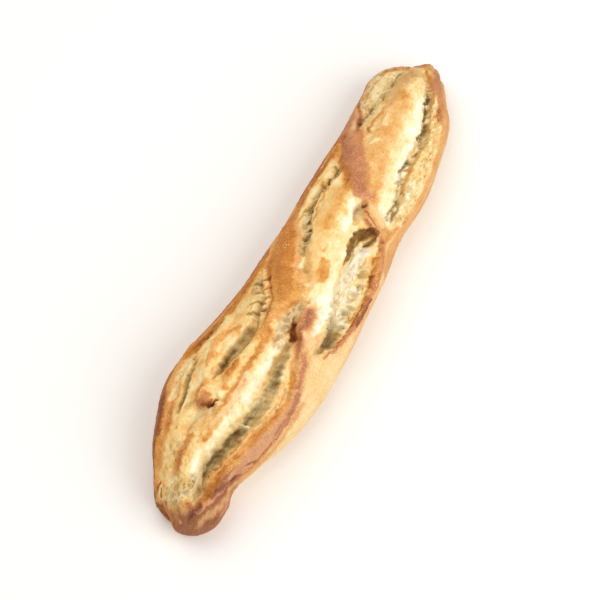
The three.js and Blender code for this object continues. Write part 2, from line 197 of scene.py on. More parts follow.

# The loaf's features, from broad to fine. Where a form sets dark, that is painted shade: in hollows,
# slits, pits, gaps and pores, and as a greyer tone on crust near the tips. The browner bake of holes,
# pits and pores is painted shade too.
FORMS = {
    # Bands of whole crust between the cuts.
    "lower band": Stroke(((126, 2), (148, 6), (165, 16), (180, 24), (192, 32)), 8, 8, 0.1, height=2.8),
    "upper band": Stroke(((222, -3), (240, 6), (256, 15), (267, 21), (276, 24)), 7, 8, 0, height=3.2),
    "left shoulder": Stroke(((318, 34), (328, 28), (335, 22)), 14, 10, 0.2, height=1.4),
    "head flat": Stroke(((338, 26), (341, 14), (341, 5)), 8, 12, 0.2, height=-1.5, lean=-2.6),
    "head lobe": Stroke(((343, 8), (344, -4)), 7, 7, 0, height=0.4, lean=1.6),
    "head corner cut": Stroke(((343, -7), (336, -16)), 6, 9, 0, height=-1.6, lean=-1.2),
    "right flank": Stroke(((320, -34), (334, -26), (340, -20)), 10, 12, 0.2, height=-1.6),
    "nose notch": Stroke(((1.5, 34), (2.5, 22), (4, 6)), 9, 7, 0.2, height=-1, lean=5.2),
    # The torn openings.
    "nose opening": Patch(((2, 12), (7, 18.5), (12, 20.5), (20, 22), (30, 22), (50, 24), (70, 33), (95, 39),
        (125, 41), (155, 38), (166, 35)), ((2, 5), (15, -10), (22, -14), (30, -17), (52, -23), (80, -27),
        (90, -27), (100, -24), (118, -15), (124, -8), (128, 2), (132, 8), (140, 11), (150, 17), (158, 25),
        (166, 35)), 4, 2, bake=0.3, red=0, crumb=0.8),
    "middle opening": Patch(((118, -31), (124, -22), (137, -10), (160, 3.5), (167, 8.5), (175, 12.5),
        (183, 16), (190, 20.5), (197, 26), (204, 31), (212, 35), (240, 38), (266, 36)), ((118, -33),
        (128, -37.5), (140, -40.5), (152, -42), (178, -38.5), (190, -35), (200, -31), (206, -26),
        (216, -10), (222, -6), (224, -1), (258, 30), (266, 36)), 2.5, 2, bake=0.26, red=0, crumb=0.7),
    "head opening": Patch(((214, -28), (222, -15), (232, -11), (250, 4), (266, 14), (274, 19.5),
        (285, 23.5), (310, 35), (320, 34), (330, 25), (337, 10), (342, -2)), ((214, -34), (225, -38),
        (255, -40), (285, -38), (317, -20), (327, -12), (342, -3)), 3, 4, bake=0.27, red=0, crumb=0.7),
    # The nose opening's valley, its belly and the ear over it.
    "nose belly": Stroke(((14, 2), (40, -1), (60, -4), (85, -6), (110, -5)), 8, 7, height=2.4),
    "nose valley": Patch(((12, -2), (30, -3.5), (45, -7), (60, -9.5), (75, -11.5), (90, -10.5),
        (105, -7.5), (130, -5)), VALLEY_FOOT, 12, 3, height=-7.2),
    "nose ear": Stroke(((10, -9.5), (22, -16), (38, -24), (52, -29), (68, -32), (85, -32.5), (100, -28.5),
        (115, -21), (129, -13.5), (143, -8.5)), 3.6, 9.5, 0.05, height=3.8, lean=2.2),
    "nose ear tip": Stroke(((122, -15.5), (132, -11.5), (141, -9)), 3, 5, height=1.4, lean=1),
    "nub": Stroke(((5, -14), (24, -33)), 9, 8, 0.3, height=2.2),
    # Hollows and strips on the left of the nose opening.
    "nose rim": Stroke(((18, 24), (42, 27), (85, 39), (100, 42)), 6, 5, 0, height=1.8),
    "slit": Patch(((56, 20.5), (68, 22.5), (78, 27.5), (85, 29), (91, 28)), ((56, 17), (68, 18), (78, 21),
        (85, 24), (91, 27)), 1.2, 3.4, height=-3.6),
    "long hollow": Patch(((78, 10.5), (90, 12.8), (100, 14.6), (110, 14.4), (122, 13.4), (134, 17),
        (142, 19), (148, 26), (156, 31), (162, 33)), ((78, 9.5), (88, 7), (100, 6.4), (104, 4.6), (112, 5),
        (120, 6.5), (128, 10), (138, 13), (146, 19), (154, 26), (162, 32)), 1.8, 4, height=-6),
    "strip": Stroke(((66, 7), (73, 9), (83, 14.5), (95, 19), (108, 24), (122, 28)), 3.2, 3.6, height=3),
    "knob": Stroke(((66.5, 7.5), (72, 9)), 5, 5, height=2.8),
    "low strip": Stroke(((74, 2), (86, 4), (98, 4), (118, 4), (132, 5)), 3, 3.4, 0.1, height=1.8),
    "knob pocket": Stroke(((50, 9), (60, 8), (66, 3)), 5, 4, height=-3),
    # The middle opening.
    "middle trough": Stroke(((160, 2), (178, 10.5), (190, 15), (203, 22), (218, 23), (233, 19), (247, 24),
        (264, 33)), 4.5, 5, height=-3.2),
    "middle panel": Stroke(((146, -4), (172, 1), (198, 8), (224, 6)), 8, 10, 0.3, height=2),
    "middle hollow": Patch(((119, -26), (128, -25), (140, -22), (150, -18.5), (160, -13.5), (170, -11.5),
        (182, -11.5), (192, -10), (200, -9.5), (205, -12), (209, -19)), ((119, -28), (124, -32), (130, -36),
        (140, -38), (150, -39), (165, -38.5), (180, -36), (190, -33), (200, -28.5), (206, -24), (209, -20)),
        10, 6.5, height=-9.5),
    "hollow end wall": Patch(((178, -12), (192, -10), (200, -9.5), (205, -12), (209, -18)), ((178, -18),
        (190, -19), (204, -21), (209, -20)), 1.8, 8, height=-4.4),
    "middle rim": Stroke(((123, -35), (138, -40), (155, -43.5), (172, -42.5), (190, -38.5), (204, -31)), 3,
        6, 0.1, height=2.8, lean=1.6),
    "flap": Stroke(((214.5, -10.5), (210.5, -15), (206.5, -22)), 3.8, 3.8, 0.2, height=3.6),
    "band pocket": Stroke(((207, -7), (214, -6.5), (221.5, -8)), 3, 3, height=-4),
    # The head opening.
    "head trough": Stroke(((272, 21), (288, 19), (304, 14.5), (325, 8)), 9, 7, 0, height=-2.6),
    "head panel": Stroke(((240, -4), (262, 2), (288, 2), (316, -3)), 9, 9, 0.3, height=2.4),
    "head valley": Stroke(((236, -28), (244, -24), (252, -20.5), (265, -19.5), (275, -21), (286, -20.5),
        (296, -17), (306, -15), (318, -12), (330, -6)), 6, 2.4, height=-4.5),
    "head rim": Stroke(((222, -42), (275, -34), (300, -28)), 9, 9, height=1.6),
    # Colours of the crust outside the openings.
    # The paler crust along the loaf's right side is partly its own colour and partly painted light.
    "side bloom": Patch(((30, -50), (60, -42), (90, -36), (120, -22), (126, -36), (160, -44), (190, -40),
        (206, -31), (214, -34), (240, -42), (320, -36)), ((30, -90), (320, -90)), 5, 12, bake=0.3, red=0.3),
    "side glow": Stroke(((150, -54), (190, -54), (230, -52)), 10, 20, 0.2, bake=0.42, red=0.6),
    "side glow 2": Stroke(((50, -48), (66, -47), (92, -41)), 4, 5, 0, bake=0.5, red=0.6),
    "side speck": Patch(((190, -42), (200, -34), (240, -44)), ((190, -60), (240, -60)), 4, 8, bake=0.56,
        red=0.4, share=0.7),
    "nose crust": Stroke(((0, -10), (14, -22), (30, -34)), 16, 16, 0.5, bake=0.68, red=1, dark=0.4),
    "nose end": Stroke(((13, 27), (5, 21.5), (1.5, 12), (0.5, 3)), 3, 4, 0.2, bake=0.56, red=0.7, dark=0.45,
        share=0.8),
    "nose end mark": Stroke(((5, 13), (7, 15)), 1.3, 1.5, 0.1, bake=0.6, dark=0.8, share=0.9),
    "nose end gold": Stroke(((9, 9), (12, -2)), 2.4, 2.4, 0, bake=0.5, red=0.2, share=0.8),
    "nub streak": Stroke(((6, -12), (16, -21), (28, -31), (42, -43)), 2.6, 3.4, 0.1, bake=0.34, red=0.6,
        dark=0.34, share=0.9),
    "nub tan": Stroke(((17, -28), (30, -38), (42, -52)), 3, 4, 0.1, bake=0.54, red=1, dark=0.25, share=0.8),
    # A painted highlight on the nub.
    "nub shine": Stroke(((2.4, -1.4), (3.6, -0.6)), 0.9, 0.9, bake=0.2, red=0.6, share=0.7),
    # The browner crust on the loaf's left side is partly its own bake and partly painted shade.
    "left crust": Patch(((-4, 86), (350, 86)), ((6, 18), (16, 27), (50, 26.5), (70, 36), (100, 41),
        (150, 39), (165, 35), (190, 30), (340, 40)), 14, 3, bake=0.7, red=0.12),
    "left scorch": Stroke(((26, 27), (40, 28), (50, 30), (64, 36)), 8, 5, bake=0.84, red=0.1, share=0.9),
    "left blotch": Stroke(((50, 23), (62, 26), (74, 31)), 3, 5, 0.3, bake=0.62, red=0.2, share=0.9),
    "left rim low": Stroke(((12, 24), (24, 25), (40, 24)), 4, 4, bake=0.5, red=0.1, crumb=0.6, comb=0.5,
        share=0.8),
    "nose ear bloom": Patch(((8, -6), (20, -16), (35, -26), (45, -27.5), (52, -27), (60, -29), (75, -32),
        (85, -32), (95, -30), (105, -27), (112, -24), (140, -9)), ((8, -9), (12, -14), (25, -24), (35, -32),
        (45, -39), (60, -41), (75, -41), (90, -37), (103, -32), (112, -28), (140, -10)), 1.5, 1.5, bake=0.5,
        red=1, dark=0.1),
    "nose ear crease": Stroke(((11, -10), (15, -12), (25, -20), (40, -36), (48, -41), (62, -41.5),
        (78, -41), (90, -37)), 1.2, 1.8, 0, height=-0.8, bake=0.7, red=1),
    "nose ear edge": Stroke(((7, -7), (15, -12), (25, -20.5), (34, -29), (40, -35.5)), 2.2, 2.2, 0.1,
        bake=0.8, red=0.9),
    "ear blush": Stroke(((36, -29), (46, -34)), 3, 3, bake=0.5, red=1, share=0.8),
    "nose ear pit": Stroke(((47, -33), (50, -38), (53, -41)), 1.6, 1.6, 0.1, height=-1, bake=0.74, red=0.8),
    "ear deep": Stroke(((70, -38), (82, -37.5), (94, -33.5)), 3, 3, bake=0.66, red=1),
    "nose ear end": Stroke(((98, -30), (106, -27.5), (114, -23), (130, -13.5), (141, -10)), 2.2, 2.4,
        bake=0.66, red=0.9),
    "orange rim": Stroke(((16, -12), (34, -20.5), (54, -26), (78, -28.5), (90, -27), (100, -24),
        (110, -19)), 2.6, 3.4, bake=0.5, red=0.1, crumb=0.6, comb=0.3),
    "rim scorch": Stroke(((20, -14.5), (30, -19), (40, -22.5)), 2.4, 2.6, bake=0.6, red=0.1),
    "rim tan": Stroke(((72, -26.5), (84, -27), (95, -24.5)), 2, 3, bake=0.34, crumb=0.7, comb=0.5),
    "ear shoulder": Stroke(((108, -22), (116, -17), (124, -22), (132, -20)), 4, 5, bake=0.44, red=0.5,
        crumb=0),
    # Colours and painted shade inside the nose opening.
    "bloom": Stroke(((14, 8), (24, 7), (40, 11)), 8, 8, bake=0.3, comb=0.4, dark=0.1),
    "bloom scorch": Stroke(((28, 20), (38, 21), (46, 21)), 4, 4, bake=0.55, share=0.8),
    "bloom specks": Stroke(((15, 21), (19, 19)), 1.4, 2, bake=0.78),
    "end shade": Stroke(((9, 13), (7.5, 4), (9, -3)), 3, 3, bake=0.36, dark=0.3, share=0.6),
    "orange patch": Stroke(((26, 7), (36, 5), (46, 4)), 4, 4, bake=0.55, red=0.3),
    "end comb": Stroke(((13, 4), (18, 0), (25, -4)), 6, 5, 0, bake=0.2, crumb=1, comb=0.8, dark=0.26),
    "end pore": Stroke(((12, 15), (15, 16.5)), 1.2, 1.4, bake=0.6, dark=0.7),
    "tan pocket": Stroke(((52, 12), (63, 15)), 4, 5, bake=0.32, crumb=0.3),
    "pocket shade": Stroke(((52, 7), (60, 6.5), (66, 5)), 3.5, 3, bake=0.26, dark=0.4, share=0.8),
    "pocket wall": Stroke(((62, 14), (66, 12), (67, 8)), 2.6, 2.6, bake=0.4, dark=0.3, share=0.8),
    "smudge": Stroke(((52, 1), (60, 1.5), (66, 0)), 2.4, 2.4, bake=0.4, crumb=0.3),
    "knob crust": Stroke(((65, 7.5), (68, 6.5), (72, 7)), 2.6, 2.6, bake=0.62, red=0.6, crumb=0.2),
    "knob lip": Stroke(((65, 6.2), (68, 4.4), (71, 4)), 0.9, 0.9, bake=0.76, red=0.6),
    # A painted shadow under the knob, over a small dent.
    "knob hole": Stroke(((66.5, 4.6), (69, 3), (71.6, 2.2)), 0.9, 1, height=-1.6, bake=0.84, dark=0.7),
    "strip crust": Stroke(((69, 11.5), (74, 12.5), (79, 11.5)), 3.6, 3.4, bake=0.54, red=0.3, crumb=0.3),
    "strip crust 2": Stroke(((88, 16.5), (95, 18.5), (102, 21), (112, 21), (118, 17)), 2.4, 3, bake=0.52,
        red=0.2, crumb=0.3),
    "strip pale": Stroke(((78, 15.5), (88, 19.5), (98, 24)), 1.6, 1.8, bake=0.16),
    "low strip crust": Stroke(((79, 2.6), (88, 4.4), (97, 4.6)), 2.8, 2.8, 0.2, bake=0.6, red=0.15),
    "belly line": Stroke(((54, -2), (66, -2), (96, -0.8), (122, 1)), 1.8, 2.6, height=0.4, bake=0.56,
        red=0.15, crumb=0.3),
    "peach": Stroke(((56, -3.5), (75, -4.5), (90, -3.5)), 3, 3.4, bake=0.3, red=0.55),
    "white belly": Stroke(((27, -3), (46, -5), (75, -9), (113, -4.5)), 5, 6, 0, bake=0.13),
    "white top": Stroke(((78, -10), (92, -9), (114, -5.5)), 2, 3, 0, bake=0.08, dark=0.1),
    "belly gold": Stroke(((47, -2), (55, -4), (62, -4.5)), 3, 2.6, 0.1, bake=0.48, red=0.25, share=0.8),
    "valley wall": Patch(((12, -2), (30, -4), (60, -10.5), (75, -12.5), (90, -11.5), (105, -8.5),
        (130, -6)), VALLEY_FOOT, 7, 1.5, bake=0.1, crumb=0.9, comb=0.3, pull=0.8, dark=0.72),
    "valley shade 1": Stroke(((18, -6), (26, -10.5)), 2, 2, dark=0.6, share=0.8),
    "valley light": Stroke(((27, -9.5), (40, -12.5)), 2.4, 2.6, 0, dark=0.3, share=0.8),
    "valley shade 2": Stroke(((38, -13.5), (45, -14.2), (60, -16.5)), 3, 3, bake=0.2, dark=0.98),
    "valley pit": Stroke(((58.5, -18), (61.5, -17.5)), 2.4, 2.2, height=-1.5, bake=0.4, dark=0.9),
    "valley thread": Stroke(((61.5, -12), (64.5, -16), (66, -21)), 1.4, 1.6, height=3, bake=0.12, dark=0.2),
    "valley shade 3": Stroke(((70, -17), (80, -18.5), (88, -17)), 3.4, 3.4, dark=0.62),
    "valley pale": Stroke(((66, -22), (78, -22.5), (88, -20.5)), 2.2, 1.4, bake=0.3, dark=0.2, share=0.8),
    "valley threads": Stroke(((22, -11), (38, -17.5), (48, -19.5), (56, -20.5)), 2, 2.2, 0.1, bake=0.32,
        comb=0.6, dark=0.34),
    "valley shade 4": Stroke(((98, -12), (108, -11), (118, -10.5)), 3, 3, bake=0.3, dark=0.6, share=0.7),
    "valley foot": Stroke(((22, -12.5), (30, -16), (40, -19), (50, -20.8), (62, -22)), 0.9, 0.9, 0.1,
        height=-0.6, bake=0.5, dark=0.5, share=0.7),
    "slit shade": Patch(((57, 20.4), (68, 22.4), (78, 27.4), (85, 28.8), (90, 28)), ((57, 18), (68, 19),
        (78, 22.5), (85, 25.5), (90, 27)), 0.8, 1.6, bake=0.24, dark=0.55),
    "slit dark": Stroke(((62, 20.4), (69, 21.6), (76, 25), (81, 27)), 1.2, 1.4, dark=0.85),
    "slit lip": Stroke(((57, 17), (69, 17.6), (80, 21.5)), 1, 1, 0.1, height=0.7, bake=0.16),
    "comb patch": Stroke(((85, 26), (89, 27), (92, 30)), 2.6, 3, bake=0.3, comb=0.6, dark=0.4),
    "upper comb": Stroke(((66, 28), (80, 32), (96, 33)), 4, 3, bake=0.22, comb=0.5),
    "small hole": Stroke(((106.5, 32), (109.5, 33)), 1.4, 1.8, height=-2, bake=0.7, dark=0.6),
    "long shade": Patch(((79, 10.4), (90, 12.6), (100, 14.4), (110, 14.2), (122, 13.2), (130, 12)),
        ((79, 9.8), (88, 7.5), (100, 7), (104, 5.4), (112, 5.8), (120, 7.5), (130, 10.5)), 1, 1.2, bake=0.2,
        comb=0.3, pull=0.4, dark=0.5),
    "long pit": Stroke(((90, 11.4), (97, 12.2), (104, 12.6)), 1.3, 1.8, 0, bake=0.3, dark=0.85),
    "left threads": Stroke(((120, 10), (140, 18.5), (147, 24), (154, 29)), 6, 6, 0.4, bake=0.28, comb=0.1,
        pull=1),
    "hollow pit": Stroke(((129.5, 12), (132.5, 14.5), (136, 15), (137, 12.5)), 1.5, 1.5, bake=0.35,
        dark=0.85),
    "left grey": Stroke(((142, 24), (148, 27), (152, 28)), 4, 5, bake=0.22, comb=0.2, dark=0.45),
    "left olive": Stroke(((112, 26), (124, 24), (138, 26)), 6, 6, 0, bake=0.28, dark=0.28, share=0.7),
    "tear gap 1": Stroke(((149, 28), (152.5, 25), (155, 20.5)), 2, 2.2, 0, height=-1.2, bake=0.3, dark=0.8),
    "tear gap 2": Stroke(((134, 21), (138, 17), (141.5, 13)), 1.7, 2, 0, height=-1.2, bake=0.32, dark=0.8),
    "tear gap 3": Stroke(((127, 18.5), (130.5, 14), (133.5, 9.5)), 1.7, 1.9, 0, height=-1, bake=0.32,
        dark=0.8),
    "tear gap 4": Stroke(((142.5, 23), (146, 19.5), (148.5, 16)), 1.5, 1.8, 0, height=-0.8, bake=0.32,
        dark=0.65),
    "left tan": Stroke(((96, 37), (112, 34), (128, 34), (164, 36)), 9, 7, bake=0.62, red=0.02),
    "lower tan": Stroke(((112, 5), (125, 5), (138, 6)), 3.5, 4, bake=0.48, crumb=0.3, share=0.8),
    "pink flap": Stroke(((113.5, -5.5), (115.5, -3), (118, -1)), 1.3, 1.3, height=0.5, bake=0.52, red=0.9),
    "pocket crumb": Patch(((115, -2.2), (132, 0.9), (142, 0.6), (147, -3)), ((115, -6), (126, -8),
        (132, -9.5), (141, -10), (147, -8)), 1.6, 1.5, height=-1.8, bake=0.17, red=0.3, crumb=0.9, comb=0.6,
        dark=0.24),
    "pocket bump": Stroke(((114, -6), (119, -7)), 3, 3, height=1.4, bake=0.14, comb=0.5, dark=0.1),
    "pocket hole": Stroke(((123, -11), (127, -9), (131, -7.5)), 3.4, 3.6, 0.2, height=-3.4, bake=0.76,
        red=0.2, dark=0.5),
    "pocket lobe": Stroke(((122, -19), (142, -12.5)), 6.5, 7, 0.2, height=2, bake=0.38, red=0.5, crumb=0),
    "pocket lip": Stroke(((120, -15.5), (127, -14), (134, -12.8), (141.5, -11)), 2.2, 5.4, 0, bake=0.74,
        red=0.8, dark=0),
    "lip foot": Stroke(((114, -19), (120, -15.5)), 2, 2.4, 0.1, bake=0.6, red=0.9, share=0.8),
    "lobe gold": Stroke(((122, -22), (137, -17)), 3, 3.4, bake=0.28, red=0.3),
    # Colours of the bands, with painted shade along the upper band's left side.
    "lower band crust": Patch(((112, 5), (130, 8), (140, 11), (172, 35), (182, 45), (230, 60)), ((112, 1),
        (132, 1), (146, -3), (190, 20), (212, 38), (230, 58)), 2.5, 1.2, bake=0.52, red=0.1, crumb=0),
    "lower band line": Stroke(((126, 5.5), (140, 10), (150, 17), (160, 25.5), (170, 31)), 1, 1.2, 0.1,
        height=-0.6, bake=0.74, red=0.2, share=0.8),
    "lower band deep": Patch(((136, 6), (165, 26), (204, 46)), ((136, 2), (146, 1), (155, 4), (175, 13),
        (190, 21), (204, 34)), 5, 2.5, bake=0.61),
    "lower band left": Stroke(((156, 22), (166, 28), (180, 33)), 4, 4, bake=0.64, red=0.05, share=0.8),
    "lower band fringe": Stroke(((160, 5.5), (175, 12.5), (190, 20.5), (204, 32)), 2.8, 1.2, 0.1, bake=0.44,
        red=0.5),
    "upper band crust": Patch(((221, 1), (230, 4), (243, 14), (252, 27), (266, 38), (290, 50)), ((221, -4),
        (228, -12), (235, -11), (244, 0), (250, 4.5), (258, 9), (274, 19), (285, 24), (298, 31), (310, 42)),
        2, 1, bake=0.62, red=0.8, crumb=0, dark=0.06),
    "upper band blush": Stroke(((224, -6), (231, -8), (236, -6)), 4, 4, 0.2, bake=0.52, red=0.85, dark=0),
    "upper band dark": Stroke(((236, -1), (270, 38)), 5, 6, 0, bake=0.64, red=0.85),
    "upper band tan": Patch(((254, 26), (302, 46)), ((254, 10), (266, 15), (302, 36)), 16, 3, bake=0.52,
        red=0.8),
    "band shade": Patch(((222, 6), (232, 12), (240, 22), (250, 31), (262, 37)), ((222, -1), (232, 3),
        (241, 10), (248, 19), (262, 32)), 6, 2, bake=0.63, red=0.15, crumb=0.3),
    # Colours and painted shade inside the middle opening.
    "gold tip": Stroke(((121, -24), (127, -17)), 4, 4, bake=0.32, crumb=0.2),
    "pale panel": Stroke(((146, -8), (205, -3)), 6, 7, 0.2, bake=0.24, crumb=0.4),
    "panel rim light": Stroke(((150, -11), (184, -9.5)), 2, 3, 0, bake=0.14),
    "panel patch": Stroke(((161, -3.5), (167, -5.5), (173, -4)), 4.2, 3.6, 0.7, bake=0.5, red=0.1),
    "panel patch 2": Stroke(((149, -2.5), (156, -3.5), (162, -3)), 2, 2.4, bake=0.42, red=0.1),
    "panel spot": Stroke(((180, -0.5), (185, -0.5)), 1.6, 1.4, bake=0.46),
    "panel gold": Stroke(((160, 0), (205, 10), (222, 10)), 6, 6, 0.2, bake=0.36, crumb=0.3),
    "panel tan": Stroke(((198, 4), (212, 6), (226, 6)), 6, 5, bake=0.5, dark=0.08, share=0.8),
    "panel ridge": Stroke(((198, 14.5), (210, 16.5), (222, 15.5)), 1.6, 1.6, height=0.6, bake=0.48),
    "panel dip": Stroke(((164.5, 3), (167.5, 5.5)), 2, 2.2, height=-1.6, bake=0.35, dark=0.45),
    "panel pale": Stroke(((168.5, 7.5), (174, 8)), 1.4, 1.4, bake=0.08),
    "trough comb": Stroke(((178, 11), (186, 14), (193, 16), (202, 22), (214, 23), (224, 21.5), (234, 18),
        (242, 20)), 4, 4.2, bake=0.2, comb=1, dark=0.34),
    "trough line": Stroke(((198, 26), (205, 26.5), (211, 25)), 1, 1.2, 0, height=-0.7, bake=0.4, dark=0.5),
    "trough line 3": Stroke(((236, 20), (240, 21), (242, 24)), 1, 1, 0, height=-0.7, bake=0.5, dark=0.7),
    "trough line 2": Stroke(((219, 24.2), (223, 23), (229, 23.4)), 1, 1, 0, height=-0.7, bake=0.4,
        dark=0.5),
    "trough pore": Stroke(((192, 11.5), (193.4, 14.5), (192.4, 17)), 0.7, 0.7, height=-1, bake=0.6,
        dark=0.7),
    "trough hole": Stroke(((228.5, 20), (232.5, 20.5)), 1.2, 1, height=-2, bake=0.9, dark=1),
    "top cream": Stroke(((202, 28.5), (214, 29), (226, 27.5)), 1.8, 1.8, bake=0.36, share=0.7),
    "top gold": Stroke(((200, 32), (212, 33), (226, 32), (244, 30), (258, 35)), 6, 4.5, bake=0.62, red=0.1),
    "white tongue": Stroke(((200, -4), (210, -3), (219, -1.5)), 3.4, 3.4, 0.1, bake=0.04, crumb=0.9),
    "tongue shade": Stroke(((211, -6.5), (216, -5), (221, -7.5)), 2.6, 3, 0.1, bake=0.12, red=0.4, comb=0.5,
        dark=0.42),
    "tongue notch": Stroke(((219.5, -6), (221.8, -9.8)), 0.9, 0.9, height=-1.5, bake=0.6, dark=0.9),
    "hollow floor": Patch(((124, -26), (136, -24), (150, -16), (165, -15), (180, -16), (195, -18),
        (206, -19)), ((124, -32), (135, -37), (150, -38), (165, -37), (195, -29), (206, -23)), 4, 2,
        bake=-0.02, crumb=1, comb=0.5, dark=0.06),
    "hollow tip shade": Patch(((116, -25), (128, -24), (134, -25.5), (144, -30)), ((116, -28), (124, -32),
        (130, -36), (144, -38.5)), 5, 2, bake=0.22, comb=0.3, dark=0.78),
    "hollow wall": Patch(((178, -13), (192, -9.5), (200, -9), (205, -11), (209, -18)), ((178, -15),
        (184, -17), (192, -18), (198, -19.5), (204, -21.5), (209, -20)), 1.5, 2.5, bake=0.3, crumb=0.9,
        comb=0.3, dark=0.84),
    "wall column": Stroke(((186, -20), (192, -18), (199, -15)), 2.4, 2.2, bake=0.18, comb=0.5, dark=0.4,
        share=0.85),
    "wall foot": Stroke(((200, -24), (205, -23), (207, -19)), 2.2, 2.4, bake=0.4, dark=0.95, share=0.9),
    "hollow grey": Patch(((132, -23), (144, -21), (152, -20.5), (172, -24)), ((132, -30), (142, -36),
        (152, -36), (172, -26)), 5, 3, bake=0.08, comb=0.6, dark=0.42),
    "hollow comb": Patch(((148, -20), (168, -16.5), (182, -17), (194, -19)), ((148, -38), (164, -38),
        (184, -33), (194, -29)), 5, 1.5, bake=0.06, comb=0.45, dark=0.08),
    "hollow pores": Stroke(((142, -37), (166, -36), (178, -33.5), (188, -30)), 2.6, 2.4, 0.1, bake=0.14,
        comb=1, dark=0.24, share=0.8),
    "white slope": Patch(((127, -19), (142, -12.5), (150, -10.5), (160, -10), (172, -12)), ((127, -21),
        (134, -23), (144, -22), (152, -20), (160, -16.5), (172, -13)), 3.5, 2, bake=0, crumb=0.9, comb=0.2,
        dark=0),
    "hollow comb wall": Stroke(((150, -38.5), (170, -37.5), (184, -34.5), (194, -30.5)), 1.6, 2, 0.2,
        bake=0.42, comb=0.5, dark=0.2),
    "hollow rim gold": Stroke(((150, -41), (165, -40.5), (180, -38), (194, -33), (204, -28.5)), 2, 2.4,
        bake=0.52, red=0.2, comb=0.7),
    "rim gold low": Stroke(((130, -36), (138, -38.3), (146, -39.6), (156, -40.6)), 1.8, 2, 0.1, bake=0.56,
        red=0.4, comb=0.6),
    "hollow scorch": Stroke(((177, -36.5), (183, -36)), 2.2, 2.2, bake=0.7, red=0.1),
    "middle rim crust": Stroke(((122, -34), (135, -38.8), (145, -41), (155, -42.8), (168, -42),
        (180, -40.3), (190, -38.3), (198, -34.5), (205, -29.5), (210, -22)), 1.4, 1.7, 0.2, bake=0.62,
        red=0.9, crumb=0),
    "middle rim dark": Stroke(((150, -42.6), (160, -43), (171, -42.6)), 1.2, 1.4, bake=0.84, red=0.8),
    "middle rim line": Stroke(((148, -39.5), (156, -41), (166, -40)), 0.7, 0.8, 0.1, height=-0.6, bake=0.76,
        red=0.4, dark=0.2),
    "rim peach": Stroke(((176, -43), (186, -42), (195, -39)), 3, 4, bake=0.6, red=0.5, share=0.8),
    "flap crust": Stroke(((213.5, -10.5), (210, -15), (206, -23.5)), 3, 3, 0.5, bake=0.47, red=0.45,
        crumb=0),
    "flap edge": Stroke(((215.5, -9.5), (213, -13.5), (210.5, -18.5), (208.5, -24.5)), 1.5, 1.5, 0.2,
        bake=0.78, red=0.8, crumb=0),
    "flap line": Stroke(((211, -11.5), (207.5, -16.5), (204, -23.5)), 1, 1, 0.1, bake=0.68, red=0.8,
        crumb=0),
    "flap tan": Stroke(((221, -11), (218, -16), (214.5, -24)), 3.4, 3, 0.1, bake=0.34, red=0.5, share=0.85),
    # Colours and painted shade inside the head opening.
    "head gold": Stroke(((236, -7), (248, -3), (262, 3), (300, 3)), 8, 10, 0.2, bake=0.45, red=0.2,
        crumb=0.4),
    "head pale": Stroke(((224, -21), (240, -16), (256, -12.5), (275, -11), (292, -10.5), (304, -8)), 9, 7,
        0.1, bake=0.16, crumb=0.6),
    "head white": Stroke(((250, -16), (262, -14), (288, -11.5), (300, -9.5)), 5, 4.6, 0, bake=0.05),
    "head ridge": Stroke(((268, 12), (276, 12.5), (286, 10), (294, 5)), 2.4, 2.8, 0.1, height=0.6,
        bake=0.54, red=0.4),
    "head light 1": Stroke(((262, 5), (264, 4)), 2.4, 2.6, 0.1, bake=0.1, share=0.6),
    "head light 2": Stroke(((277, 5), (284, 5.5)), 2, 2.4, 0.1, bake=0.16, share=0.6),
    "head spot": Stroke(((271, 12.5), (273, 14)), 1.4, 1.6, height=-1.2, bake=0.45, dark=0.5),
    "head comb": Stroke(((274, 22), (290, 20), (326, 8)), 8, 7, 0, bake=0.14, comb=0.6, pull=0.2,
        dark=0.24),
    "head comb line": Stroke(((275, 22), (282, 22), (290, 20)), 2, 2, 0, height=-0.8, bake=0.26, dark=0.6),
    "head comb hole": Stroke(((297, 15), (300, 14.5)), 1.4, 1.2, 0.1, height=-0.8, bake=0.4, dark=0.8),
    "head comb hole 2": Stroke(((310, 12.5), (318, 11.5), (324, 10)), 1.2, 1.2, 0.1, height=-0.7, bake=0.4,
        dark=0.6, share=0.8),
    "head grey": Stroke(((298, 9), (312, 6), (326, 2)), 8, 8, 0.3, bake=0.38, red=0.2, dark=0.24),
    "head left tan": Stroke(((292, 29), (306, 30), (318, 27), (329, 21)), 9, 9, 0.2, bake=0.18, red=0.4,
        crumb=1, comb=0.7, dark=0.2, share=0.9),
    "band edge": Stroke(((270, 20), (278, 23), (286, 27), (293, 32), (298, 38)), 3.4, 2, 0.1, bake=0.68,
        red=0.8, crumb=0),
    "head left edge": Stroke(((290, 38), (306, 39), (320, 36), (332, 27)), 5, 4, bake=0.6, red=0.6,
        crumb=0.3),
    "head folds": Patch(((240, -16), (252, -15), (262, -15), (270, -19), (278, -17), (290, -15), (300, -10),
        (316, -10), (326, -7)), ((240, -26), (252, -22), (265, -21), (275, -23), (285, -22.5), (292, -20.5),
        (300, -18.5), (315, -15), (326, -11)), 2, 1, bake=0.1, crumb=0.9, comb=0.7, pull=1, dark=0.2),
    "head shade 1": Stroke(((252, -15), (257, -17), (262, -19.5)), 2.2, 2, height=-1, dark=0.9),
    "head shade 0": Stroke(((243, -17), (247, -20), (247, -23)), 1.4, 1.4, dark=0.6),
    "head shade 2": Stroke(((280, -16), (285, -20), (292, -19)), 2.2, 2.2, height=-1, dark=0.95),
    "head shade 2b": Stroke(((266, -19), (274, -21.5), (280, -21)), 1, 1.4, dark=0.6),
    "head shade 3": Stroke(((295, -15.5), (301, -15.5), (303, -10.5), (307, -14), (314, -13)), 1.7, 1.7,
        height=-0.8, dark=0.85),
    "head tear": Stroke(((240, -29), (245, -25), (252, -22.5), (260, -21.5), (267, -21.5), (275, -23),
